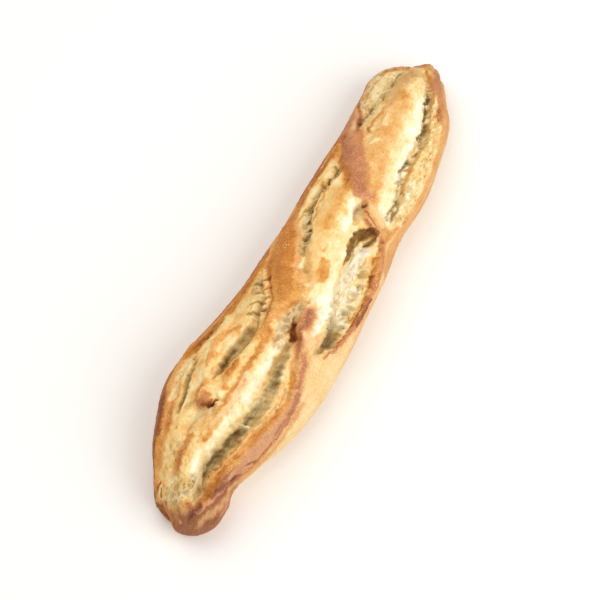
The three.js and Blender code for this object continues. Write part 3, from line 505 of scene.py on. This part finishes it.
        (285, -22.8), (292, -20.6), (300, -18.4), (316, -14.8), (322, -12.2), (328, -8.6), (333, -4.5),
        (334.5, -2)), 1.2, 0.9, 0.1, height=-0.8, bake=0.36, dark=0.45),
    "foot white": Stroke(((221, -25), (230, -26), (239, -26)), 4.5, 5, 0.3, bake=0.12, comb=0.9, pull=0,
        dark=0.3),
    "foot hole": Stroke(((222, -29), (229, -29.5), (236, -27)), 2.4, 2.2, 0.1, height=-1.2, bake=0.3,
        dark=0.75),
    "head right comb": Stroke(((226, -36), (240, -31), (270, -28), (290, -25), (304, -21)), 6, 7, 0.4,
        bake=0.25, crumb=1, comb=0.5),
    "head right gold": Stroke(((218, -42), (245, -40), (270, -37), (290, -33), (304, -27)), 4, 6, 0.4,
        bake=0.47, red=0.3, crumb=0.2),
    "head side": Stroke(((222, -52), (245, -51), (268, -48), (290, -42), (304, -36)), 7, 12, 0.2, bake=0.5,
        red=0.5, crumb=0.2, share=0.85),
    "foot pale": Stroke(((227, -32), (250, -27.5)), 3.4, 4.4, 0.1, bake=0.12, crumb=1, comb=0.6),
    "head right scorch": Stroke(((300, -23), (310, -21.5), (322, -16)), 3, 7, bake=0.62, red=0.6,
        crumb=0.4),
    "head pinch": Stroke(((318, -14), (328, -12), (338, -9)), 3, 8, height=1, bake=0.56, red=1, crumb=0,
        dark=0.22),
    "head corner": Stroke(((322, 22), (329, 12), (334, 4)), 4, 4, bake=0.5, red=0.5, dark=0.3, share=0.8),
    "head end": Stroke(((336, 24), (342, 10), (344, -2), (341, -18)), 5, 7, bake=0.54, red=0.5, dark=0.24),
    "head tip grey": Stroke(((337, -3), (342, -4), (346, -6)), 4, 5, bake=0.4, red=0.5, dark=0.25),
}

# The photograph's view, from above the nose and the loaf's right side.
VIEW_AZIMUTH = math.radians(-67.4)
VIEW_ELEVATION = math.radians(68)
VIEW_DISTANCE = 900.0
VIEW_TARGET = Vector((-14.5, -3.3, 20.0))
FOCAL_PIXELS = 1466.0
PHOTO_PIXELS = 600.0
SENSOR_MM = 36.0
FLOOR_SIZE = 3.0


def smooth(start, end, value):
    """0 before start, 1 after end and a soft step between them."""
    t = np.clip((value - start) / (end - start), 0, 1)
    return t * t * (3 - 2 * t)


def along(x, column):
    """One value of the stations at distance x, on a smooth curve through them."""
    at, value = STATIONS[:, 0], STATIONS[:, column]
    slope = np.empty(len(at))
    slope[1:-1] = (value[2:] - value[:-2]) / (at[2:] - at[:-2])
    slope[0] = (value[1] - value[0]) / (at[1] - at[0])
    slope[-1] = (value[-1] - value[-2]) / (at[-1] - at[-2])
    i = np.clip(np.searchsorted(at, x) - 1, 0, len(at) - 2)
    span = at[i + 1] - at[i]
    t = (x - at[i]) / span
    return ((2 * t ** 3 - 3 * t ** 2 + 1) * value[i] + (t ** 3 - 2 * t ** 2 + t) * span * slope[i]
            + (3 * t ** 2 - 2 * t ** 3) * value[i + 1] + (t ** 3 - t ** 2) * span * slope[i + 1])


def end_factor(x):
    """1 along the loaf, falling to 0 at the very tips of its round ends."""
    nose = np.clip(1 - x / NOSE_ROUNDING, 0, 1)
    head = np.clip(1 - (LENGTH - x) / HEAD_ROUNDING, 0, 1)
    return (1 - nose ** NOSE_POWER) ** (1 / NOSE_POWER) * (1 - head ** HEAD_POWER) ** (1 / HEAD_POWER)


def sections(x):
    """The sizes of the plain sections at distances x from the nose."""
    end = end_factor(x)
    height = along(x, 3)
    widest = WIDEST_SHARE * height
    half = along(x, 2) * end
    dome = (height - widest) * end
    girth_radius = np.maximum(np.hypot(half, dome) / math.sqrt(2), LEAST_GIRTH_RADIUS)
    return along(x, 1), half, dome, widest, end, girth_radius


def skin_points(x, section, angle):
    """Points of the plain skin at an angle from the crown, plus to the left."""
    middle, half, dome, widest, end, _ = section
    cosine, sine = np.cos(angle), np.sin(angle)
    power = 2 / np.where(cosine > 0, CROWN_POWER, BASE_POWER)
    y = middle + half * np.sign(sine) * np.abs(sine) ** power
    rise = np.abs(cosine) ** power
    z = np.where(cosine > 0, widest + dome * rise, widest - (widest + BASE_SINK) * end * rise)
    return np.stack([x, y, z], axis=-1)


def skin_normals(x, section, angle):
    """Which way is out of the skin there. It turns along the loaf at the two ends."""
    _, half, dome, _, end, _ = section
    y = np.sin(angle) / np.maximum(half, 1)
    z = np.cos(angle) / np.maximum(dome, 1)
    size = np.hypot(y, z)
    tilt = (1 - end) ** 2 * np.where(x < LENGTH / 2, -1, 1)
    level = np.sqrt(1 - tilt ** 2) / size
    return np.stack([tilt, y * level, z * level], axis=-1)


def chain_of(path):
    """A path's points as a smooth chain of steps of about PATH_STEP."""
    points = np.array(path, float)
    if len(points) == 2:
        return points
    ends = np.vstack([2 * points[0] - points[1], points, 2 * points[-1] - points[-2]])
    chain = []
    for i in range(1, len(points)):
        a, b, c, d = ends[i - 1:i + 3]
        count = max(int(np.linalg.norm(c - b) / PATH_STEP), 1)
        for t in np.arange(count) / count:
            chain.append(0.5 * (2 * b + (c - a) * t + (2 * a - 5 * b + 4 * c - d) * t ** 2
                                + (3 * b - a - 3 * c + d) * t ** 3))
    chain.append(points[-1])
    return np.array(chain)


def form_profile(form, x, g):
    """1 on a form and 0 off it, and the way across it."""
    profile = np.zeros(len(x))
    across = np.zeros((len(x), 2))
    if isinstance(form, Patch):
        left = np.interp(x, *zip(*form.left))
        right = np.interp(x, *zip(*form.right))
        first, last = form.left[0][0], form.left[-1][0]
        ends = smooth(0, form.left_soft, x - first) * smooth(0, form.left_soft, last - x)
        return ends * smooth(0, form.left_soft, left - g) * smooth(0, form.right_soft, g - right), across
    chain = chain_of(form.path)
    reach = max(form.left, form.right)
    low, high = chain.min(axis=0) - reach, chain.max(axis=0) + reach
    near = np.flatnonzero((x > low[0]) & (x < high[0]) & (g > low[1]) & (g < high[1]))
    best = np.full(len(near), np.inf)
    side = np.ones(len(near))
    way = np.zeros((len(near), 2))
    for a, b in zip(chain[:-1], chain[1:]):
        step = b - a
        ox, og = x[near] - a[0], g[near] - a[1]
        t = np.clip((ox * step[0] + og * step[1]) / (step @ step), 0, 1)
        distance = np.hypot(ox - t * step[0], og - t * step[1])
        closer = distance < best
        best = np.where(closer, distance, best)
        side = np.where(closer, np.where(step[0] * og - step[1] * ox >= 0, 1, -1), side)
        way[closer] = np.array([-step[1], step[0]]) / np.linalg.norm(step)
    profile[near] = 1 - smooth(form.level, 1, best / np.where(side > 0, form.left, form.right))
    across[near] = way
    return profile, across


def scatter(i, j, seed):
    """A number from 0 to 1 for each whole cell, the same every run."""
    return np.abs(np.modf(np.sin(i * 127.1 + j * 311.7 + seed * 74.7) * 43758.5453)[0])


def ripple(x, g, span, seed):
    """Soft noise of about -1 to 1 whose swells are span wide."""
    u, v = x / span, g / span
    i, j = np.floor(u), np.floor(v)
    fu, fv = u - i, v - j
    su, sv = fu * fu * (3 - 2 * fu), fv * fv * (3 - 2 * fv)
    total = 0
    for di, wu in ((0, 1 - su), (1, su)):
        for dj, wv in ((0, 1 - sv), (1, sv)):
            turn = 2 * math.pi * scatter(i + di, j + dj, seed)
            total = total + wu * wv * (np.cos(turn) * (fu - di) + np.sin(turn) * (fv - dj))
    return 1.6 * total


def ripples(x, g, *layers):
    """Ripples on top of each other, each given as its height, span and seed."""
    return sum(height * ripple(x, g, span, seed) for height, span, seed in layers)


def bubbles(x, g, size, seed):
    """Cells of about that size: how far into its cell a place is from the wall, and the cell's number."""
    u, v = x / size, g / size
    i, j = np.floor(u), np.floor(v)
    first = np.full(len(x), np.inf)
    second = np.full(len(x), np.inf)
    number = np.zeros(len(x))
    for di in (-1, 0, 1):
        for dj in (-1, 0, 1):
            cu = i + di + 0.1 + 0.8 * scatter(i + di, j + dj, seed)
            cv = j + dj + 0.1 + 0.8 * scatter(i + di, j + dj, seed + 1)
            distance = np.hypot(u - cu, v - cv)
            closer = distance < first
            second = np.where(closer, first, np.minimum(second, distance))
            number = np.where(closer, scatter(i + di, j + dj, seed + 2), number)
            first = np.where(closer, distance, first)
    return second - first, number


def turned(x, g, turn):
    """Distances along and across a line that is turned from the loaf's length."""
    return x * math.cos(turn) + g * math.sin(turn), g * math.cos(turn) - x * math.sin(turn)


def comb_relief(x, g):
    """Torn bubbles of the crumb: their depth in mm, and how far inside one a place is."""
    along_comb, across_comb = turned(x, g, COMB_TURN)
    height = np.zeros(len(x))
    pore = np.zeros(len(x))
    for size, depth, open_share, seed in COMB_BUBBLES:
        inside, number = bubbles(along_comb / COMB_STRETCH, across_comb, size, seed)
        strength = smooth(1 - open_share, 1.2 - open_share, number)
        dip = smooth(0.1, 0.5, inside) * strength
        height -= depth * dip
        pore = np.maximum(pore, dip)
    return height, pore


def crumb_tufts(x, g):
    """Soft tufts of torn crumb with sharp slanting ridges on them, of about -1 to 1."""
    along_ridge, across_ridge = turned(x, g, RIDGE_TURN)
    from_ridge = np.abs(ripple(along_ridge / RIDGE_DRAW, across_ridge, RIDGE_SPAN, RIDGE_SEED))
    return ripples(x, g, *CRUMB_TUFTS) + RIDGE_HEIGHT * (RIDGE_LEVEL - from_ridge)


def pulled_threads(x, g):
    """Threads of crumb that were pulled across an opening, as a height of about -1 to 1."""
    across_threads = x + THREAD_SLANT * g + ripples(x, g, THREAD_BEND)
    return sum(height * ripple(across_threads, g / drawn, span, seed)
               for height, span, seed, drawn in PULLED_THREADS)


def row_distances(share):
    """An even share of the way along as a distance, with rows closer together at the ends."""
    quarter = math.pi / 2
    straight = LENGTH - NOSE_ROUNDING - HEAD_ROUNDING
    total = straight + quarter * (NOSE_ROUNDING + HEAD_ROUNDING)
    nose_part = quarter * NOSE_ROUNDING / total
    head_part = quarter * HEAD_ROUNDING / total
    nose = NOSE_ROUNDING * (1 - np.cos(quarter * np.clip(share / nose_part, 0, 1)))
    head = LENGTH - HEAD_ROUNDING * (1 - np.cos(quarter * np.clip((1 - share) / head_part, 0, 1)))
    middle = NOSE_ROUNDING + straight * (share - nose_part) / (1 - nose_part - head_part)
    return np.where(share < nose_part, nose, np.where(share > 1 - head_part, head, middle))


def column_angles(turn):
    """An even turn of -1 to 1 round the loaf as an angle from the crown."""
    return np.radians(np.interp(turn, COLUMN_TURNS, COLUMN_DEGREES))


def baked_skin(x, angle):
    """The baked skin's points in mm from the nose, and what the material reads at each."""
    section = sections(x)
    end, girth_radius = section[4], section[5]
    g = angle * girth_radius
    fade = 1 - smooth(FADE_START, FADE_END, np.abs(angle))
    tx = x + ripples(x, g, *EDGE_WANDER_ALONG)
    tg = g + ripples(x, g, *EDGE_WANDER_ROUND)
    lift = ripples(x, g, DOUGH_SWELL)
    push = np.zeros((len(x), 2))
    looks = {name: np.full(len(x), float(value)) for name, value in LOOKS.items()}
    for form in FORMS.values():
        profile, across = form_profile(form, tx, tg)
        lift += form.height * profile
        if isinstance(form, Stroke):
            push += across * (form.lean * profile)[:, None]
        for name, value in looks.items():
            if getattr(form, name) is not None:
                value += (getattr(form, name) - value) * profile * form.share
    crumb, comb, pull = looks["crumb"], looks["comb"], looks["pull"]
    comb_height, pore = comb_relief(tx, tg)
    threads = pulled_threads(x, g)
    tufts = crumb_tufts(tx, tg)
    looks["bake"] += (ripples(x, g, *OVEN_TONES)
                      + crumb * (1 - pull) * (TUFT_BAKE * tufts
                                              + ripples(x, g * CRUMB_TONE_DRAW, CRUMB_TONES)))
    # Painted shade in the honeycomb's pores and in the dips between threads and tufts, with less on their
    # tops.
    looks["dark"] += BUBBLE_PAINTED_SHADE * pore * comb - THREAD_PAINTED_SHADE * pull * threads - TUFT_PAINTED_SHADE * crumb * tufts
    lift += comb * comb_height + THREAD_HEIGHT * pull * threads + TUFT_HEIGHT * crumb * tufts
    lift += (1 - crumb) * ripples(x, g, CRUST_BLISTERS)
    share = smooth(0, END_FADE, end)
    points = skin_points(x + push[:, 0] * share, section, angle + push[:, 1] * share / girth_radius)
    points += skin_normals(x, section, angle) * (lift * share * fade)[:, None]
    points[:, 2] = np.maximum(points[:, 2], 0)
    return points, looks


# Steps in how brown a place is, from 0 for raw dough to 1 for a burnt edge. The pore step is painted
# shade in the crumb's fine pores.
GRAIN_TONE = 0.08
PORE_SHADE_TONE = 0.16
THIN_FLOUR = 0.08
THICK_FLOUR = 0.48
# How much painted shade a fine pore adds in honeycombed crumb.
PORE_PAINTED_SHADE = 0.5
# The scale along the loaf that draws the fibres out.
FIBRE_DRAW = 0.45
BREAD_IOR = 1.38


def linear(colour):
    """A sRGB hex colour as Blender's linear red, green, blue and alpha."""
    channels = [int(colour[i:i + 2], 16) / 255 for i in (1, 3, 5)]
    return tuple(c / 12.92 if c <= 0.04045 else ((c + 0.055) / 1.055) ** 2.4 for c in channels) + (1.0,)


def add_node(material, kind, links=None, **settings):
    """A new node with its settings. Each input gets a value, or a socket's or node's output."""
    tree = material.node_tree
    node = tree.nodes.new("ShaderNode" + kind)
    for name, value in settings.items():
        setattr(node, name, value)
    for name, value in (links or {}).items():
        if isinstance(value, bpy.types.Node):
            value = value.outputs[0]
        if isinstance(value, bpy.types.NodeSocket):
            tree.links.new(value, node.inputs[name])
        else:
            node.inputs[name].default_value = value
    return node


def set_ramp(node, stops):
    """Gives a colour ramp its stops, as position and colour."""
    ramp = node.color_ramp
    while len(ramp.elements) > 1:
        ramp.elements.remove(ramp.elements[-1])
    for i, (position, colour) in enumerate(stops):
        element = ramp.elements[0] if i == 0 else ramp.elements.new(position)
        element.position = position
        element.color = colour


def crust_material(settings):
    """Baked wheat crust and crumb. Dry and matte, with a faint sheen where it is brown and smooth."""
    material = bpy.data.materials.new("baked_wheat_crust")
    material.use_nodes = True
    shader = material.node_tree.nodes["Principled BSDF"]
    place = add_node(material, "TexCoord").outputs["Object"]
    bake, red, crumb, comb, dark = (add_node(material, "Attribute", attribute_name=name).outputs["Fac"]
                                    for name in READ_LOOKS)
    crust = add_node(material, "Math", {0: 1.0, 1: crumb}, operation="SUBTRACT")

    # Fine mottling on the crust, and fibres that were drawn out along the loaf in the crumb.
    mottle = add_node(material, "TexNoise", {"Vector": place, "Scale": 1 / settings.grain_span,
                                             "Detail": 4.0, "Roughness": 0.6})
    torn = add_node(material, "Mapping", {"Vector": place, "Scale": (FIBRE_DRAW, 1, 1)})
    fibres = add_node(material, "TexNoise", {"Vector": torn, "Scale": 1 / settings.fibre_span,
                                             "Detail": 4.0, "Roughness": 0.65})
    grains = add_node(material, "Mix", {"Factor": crumb, 2: mottle, 3: fibres})
    speckle = add_node(material, "MapRange", {"Value": grains, "From Min": 0.3, "From Max": 0.7,
                                              "To Min": -GRAIN_TONE, "To Max": GRAIN_TONE})
    # Painted shade in the crumb's fine pores: they come out browner, and darker still where it is
    # honeycombed.
    pits = add_node(material, "TexNoise", {"Vector": torn, "Scale": 1 / settings.pore_span,
                                           "Detail": 2.0, "Distortion": 0.8})
    pores = add_node(material, "MapRange", {"Value": pits, "From Min": 0.56, "From Max": 0.68})

    # Flecks of flour, which lie thicker in some patches.
    patches = add_node(material, "TexNoise", {"Vector": place, "Scale": 1 / settings.dusting_span,
                                              "Detail": 1.0})
    dusty = add_node(material, "MapRange", {"Value": patches, "From Min": 0.35, "From Max": 0.6,
                                            "To Min": -THIN_FLOUR, "To Max": -THICK_FLOUR})
    flour = add_node(material, "TexVoronoi", {"Vector": place, "Scale": 1 / settings.fleck_span})
    dots = add_node(material, "MapRange", {"Value": flour, "From Min": 0.24, "From Max": 0.06})
    dusting = add_node(material, "Math", {0: dots, 1: dusty}, operation="MULTIPLY")
    specks = add_node(material, "Math", {0: dusting, 1: crust}, operation="MULTIPLY")

    # How brown each place is, with its grain, its flour and the painted shade of its pores, as a golden or
    # a ruddy colour.
    spotted = add_node(material, "Math", {0: speckle, 1: specks}, operation="ADD")
    porous = add_node(material, "Math", {0: pores, 1: crumb}, operation="MULTIPLY")
    specks_and_pore_shade = add_node(material, "Math", {0: porous, 1: PORE_SHADE_TONE, 2: spotted}, operation="MULTIPLY_ADD")
    baked = add_node(material, "Math", {0: bake, 1: specks_and_pore_shade}, operation="ADD")
    golden = add_node(material, "ValToRGB", {"Fac": baked})
    set_ramp(golden, settings.golden_colours())
    ruddy = add_node(material, "ValToRGB", {"Fac": baked})
    set_ramp(ruddy, settings.ruddy_colours())
    coloured = add_node(material, "Mix", {"Factor": red, 6: golden, 7: ruddy}, data_type="RGBA")

    # Painted shade: the colour is multiplied by grey-brown inside the hollows and the honeycomb's pores.
    combed = add_node(material, "Math", {0: pores, 1: comb}, operation="MULTIPLY")
    total_painted_shade = add_node(material, "Math", {0: combed, 1: PORE_PAINTED_SHADE, 2: dark}, operation="MULTIPLY_ADD")
    shade = add_node(material, "ValToRGB", {"Fac": total_painted_shade})
    set_ramp(shade, settings.hollow_colours())
    darkened = add_node(material, "Mix", {"Factor": 1.0, 6: coloured.outputs[2], 7: shade},
                        data_type="RGBA", blend_type="MULTIPLY")
    bump = add_node(material, "Bump", {"Strength": 0.6, "Distance": settings.grain_depth,
                                       "Height": grains})
    material.node_tree.links.new(darkened.outputs[2], shader.inputs["Base Color"])
    material.node_tree.links.new(bump.outputs["Normal"], shader.inputs["Normal"])
    shader.inputs["Roughness"].default_value = settings.roughness
    shader.inputs["IOR"].default_value = BREAD_IOR
    return material


def floor_material(settings):
    """A matt painted studio floor, pale and even, so that only the loaf draws the eye."""
    material = bpy.data.materials.new("pale_studio_paint")
    material.use_nodes = True
    shader = material.node_tree.nodes["Principled BSDF"]
    shader.inputs["Base Color"].default_value = settings.floor_colour
    shader.inputs["Roughness"].default_value = 0.9
    return material


def colour_setting(name, description, colour):
    """A colour that a user can change, from its sRGB hex value."""
    return bpy.props.FloatVectorProperty(name=name, description=description, subtype="COLOR", size=4,
                                         min=0, max=1, default=linear(colour))


def span_setting(name, description, millimetres):
    """A real size that a user can change, from its value in millimetres."""
    return bpy.props.FloatProperty(name=name, description=description, subtype="DISTANCE", unit="LENGTH",
                                   min=0.1 * MM, default=millimetres * MM)


class BaguetteLoafSettings(bpy.types.PropertyGroup):
    """The colours of the bread and of its painted shade, and the real sizes of what shows on it"""

    dough: colour_setting("Dough", "Unbrowned dough in a fresh tear", "#FFF9E6")
    crumb: colour_setting("Crumb", "Dry open crumb", "#FDEFC4")
    cream: colour_setting("Cream", "Crumb that has begun to colour", "#F5DA9C")
    straw: colour_setting("Straw", "Thin skin over the crumb", "#EDC078")
    gold: colour_setting("Gold", "Golden crust", "#E0A04C")
    amber: colour_setting("Amber", "Well baked crust", "#CB8230")
    tan: colour_setting("Tan", "Brown crust", "#AE6722")
    chestnut: colour_setting("Chestnut", "Dark brown crust", "#894B1B")
    bark: colour_setting("Bark", "Crust about to burn", "#673617")
    scorch: colour_setting("Scorch", "Burnt edge", "#432512")

    milk: colour_setting("Milk", "The palest pink crust", "#FEF0D8")
    peach: colour_setting("Peach", "Pale pink crust", "#F8CF9E")
    rose: colour_setting("Rose", "Pink crust", "#E8B182")
    salmon: colour_setting("Salmon", "Red crust", "#D4946A")
    russet: colour_setting("Russet", "Red-brown crust", "#BE7C58")
    rust: colour_setting("Rust", "Dark red-brown crust", "#935C46")
    dark_rust: colour_setting("Dark rust", "Burnt red-brown edge", "#54301F")

    dusk: colour_setting("Dusk", "Shade at a hollow's mouth", "#DACFBD")
    shade: colour_setting("Shade", "Shade inside a hollow", "#AFA187")
    depth: colour_setting("Depth", "Shade at a hollow's bottom", "#83735A")

    grain_span: span_setting("Crust grain", "Width of the crust's mottling", 1.1)
    fibre_span: span_setting("Crumb fibre", "Width of the crumb's torn fibres", 1.3)
    pore_span: span_setting("Pore", "Distance between the crumb's small pores", 1.7)
    fleck_span: span_setting("Flour fleck", "Distance between flecks of flour", 1.5)
    dusting_span: span_setting("Dusting", "Width of the patches that flour lies on", 11.0)
    grain_depth: span_setting("Grain depth", "How deep the grain is", 0.6)
    roughness: bpy.props.FloatProperty(name="Roughness", description="How dry and matte the crust is",
                                       subtype="FACTOR", min=0, max=1, default=0.75)

    def golden_colours(self):
        """Bread from unbrowned to burnt, by how far it baked."""
        return ((0.0, self.dough), (0.12, self.crumb), (0.25, self.cream), (0.38, self.straw),
                (0.5, self.gold), (0.6, self.amber), (0.7, self.tan), (0.8, self.chestnut),
                (0.9, self.bark), (1.0, self.scorch))

    def ruddy_colours(self):
        """The same where the crust came out pink and red."""
        return ((0.0, self.milk), (0.25, self.peach), (0.42, self.rose), (0.56, self.salmon),
                (0.66, self.russet), (0.8, self.rust), (1.0, self.dark_rust))

    def hollow_colours(self):
        """The painted shade that a place's colour is multiplied by, from open skin to a deep hollow's
        bottom.
        """
        return ((0.0, linear("#FFFFFF")), (0.4, self.dusk), (0.75, self.shade), (1.0, self.depth))


class BaguetteStageSettings(bpy.types.PropertyGroup):
    """The floor and the lights"""

    floor_colour: colour_setting("Floor", "The floor's paint", "#FBFAF8")
    key_colour: colour_setting("Key colour", "The light from behind the loaf", "#FFFAF2")
    fill_colour: colour_setting("Fill colour", "The light from the camera's side", "#FFFFFF")
    key_power: bpy.props.FloatProperty(name="Key power", description="The light from behind the loaf",
                                       unit="POWER", min=0, default=8.1)
    fill_power: bpy.props.FloatProperty(name="Fill power", description="The light from the camera's side",
                                        unit="POWER", min=0, default=7.9)
    sky_strength: bpy.props.FloatProperty(name="Sky", description="Even light from all round", min=0,
                                          default=0.4)


class BAGUETTE_OT_loaf(bpy.types.Operator):
    """Models the loaf's skin and bakes it"""

    bl_idname = "baguette.loaf"
    bl_label = "Loaf"

    def execute(self, context):
        ball = bmesh.new()
        bmesh.ops.create_uvsphere(ball, u_segments=COLUMNS, v_segments=ROWS, radius=1)
        mesh = bpy.data.meshes.new("baguette_loaf")
        ball.to_mesh(mesh)
        ball.free()
        place = np.zeros(len(mesh.vertices) * 3)
        mesh.vertices.foreach_get("co", place)
        place = place.reshape(-1, 3)
        share = np.arccos(np.clip(-place[:, 2], -1, 1)) / math.pi
        turn = np.arctan2(place[:, 1], place[:, 0]) / math.pi
        points, looks = baked_skin(row_distances(share), column_angles(turn))
        points[:, 0] -= LENGTH / 2
        mesh.vertices.foreach_set("co", (points * MM).ravel())
        for name in READ_LOOKS:
            attribute = mesh.attributes.new(name, "FLOAT", "POINT")
            attribute.data.foreach_set("value", looks[name].astype(np.float32))
        mesh.polygons.foreach_set("use_smooth", np.ones(len(mesh.polygons), bool))
        mesh.materials.append(crust_material(context.scene.baguette_loaf))
        mesh.update()
        loaf = bpy.data.objects.new("baguette_loaf", mesh)
        context.scene.collection.objects.link(loaf)
        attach(loaf, "root")
        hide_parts(NODE)
        return {"FINISHED"}


def aim(obj, place, target):
    """Puts a light or a camera in its place and points it at the target."""
    obj.location = place
    obj.rotation_euler = (target - place).to_track_quat("-Z", "Y").to_euler()


class BAGUETTE_OT_stage(bpy.types.Operator):
    """Lays the floor and sets the lights and the camera"""

    bl_idname = "baguette.stage"
    bl_label = "Stage"

    def execute(self, context):
        scene = context.scene
        settings = scene.baguette_stage
        sheet = bmesh.new()
        bmesh.ops.create_grid(sheet, x_segments=1, y_segments=1, size=FLOOR_SIZE)
        mesh = bpy.data.meshes.new("floor")
        sheet.to_mesh(mesh)
        sheet.free()
        mesh.materials.append(floor_material(settings))
        floor = bpy.data.objects.new("floor", mesh)
        scene.collection.objects.link(floor)

        target = VIEW_TARGET * MM
        back = Vector((math.sin(VIEW_AZIMUTH) * math.cos(VIEW_ELEVATION),
                       -math.cos(VIEW_AZIMUTH) * math.cos(VIEW_ELEVATION), math.sin(VIEW_ELEVATION)))
        lens = bpy.data.cameras.new("camera")
        lens.sensor_width = SENSOR_MM
        lens.lens = FOCAL_PIXELS / PHOTO_PIXELS * SENSOR_MM
        camera = bpy.data.objects.new("camera", lens)
        scene.collection.objects.link(camera)
        aim(camera, target + back * VIEW_DISTANCE * MM, target)
        scene.camera = camera

        for name, place, size, power, colour in (
            ("key", (0.15, 0.45, 1.1), 1.1, settings.key_power, settings.key_colour),
            ("fill", (-0.1, -0.8, 0.8), 1.0, settings.fill_power, settings.fill_colour),
        ):
            light = bpy.data.lights.new(name, "AREA")
            light.size = size
            light.energy = power
            light.color = colour[:3]
            lamp = bpy.data.objects.new(name, light)
            scene.collection.objects.link(lamp)
            aim(lamp, Vector(place), Vector((0, 0, 0)))

        world = bpy.data.worlds.new("studio")
        world.use_nodes = True
        world.node_tree.nodes["Background"].inputs["Color"].default_value = linear("#FFFFFF")
        world.node_tree.nodes["Background"].inputs["Strength"].default_value = settings.sky_strength
        scene.world = world
        scene.view_settings.view_transform = "Standard"
        return {"FINISHED"}


class BAGUETTE_PT_panel(bpy.types.Panel):
    """Lists the loaf and the stage"""

    bl_label = "Baguette"
    bl_idname = "BAGUETTE_PT_panel"
    bl_space_type = "VIEW_3D"
    bl_region_type = "UI"
    bl_category = "Baguette"

    def draw(self, context):
        scene = context.scene
        for operator, settings in ((BAGUETTE_OT_loaf, scene.baguette_loaf),
                                   (BAGUETTE_OT_stage, scene.baguette_stage)):
            self.layout.operator(operator.bl_idname)
            for name in settings.__annotations__:
                self.layout.prop(settings, name)


CLASSES = (BaguetteLoafSettings, BaguetteStageSettings, BAGUETTE_OT_loaf, BAGUETTE_OT_stage,
           BAGUETTE_PT_panel)


def register():
    for cls in CLASSES:
        bpy.utils.register_class(cls)
    bpy.types.Scene.baguette_loaf = bpy.props.PointerProperty(type=BaguetteLoafSettings)
    bpy.types.Scene.baguette_stage = bpy.props.PointerProperty(type=BaguetteStageSettings)


def unregister():
    del bpy.types.Scene.baguette_stage
    del bpy.types.Scene.baguette_loaf
    for cls in reversed(CLASSES):
        bpy.utils.unregister_class(cls)


def main():
    register()
    bpy.ops.baguette.stage()
    bpy.ops.baguette.loaf()


if __name__ == "__main__":
    main()
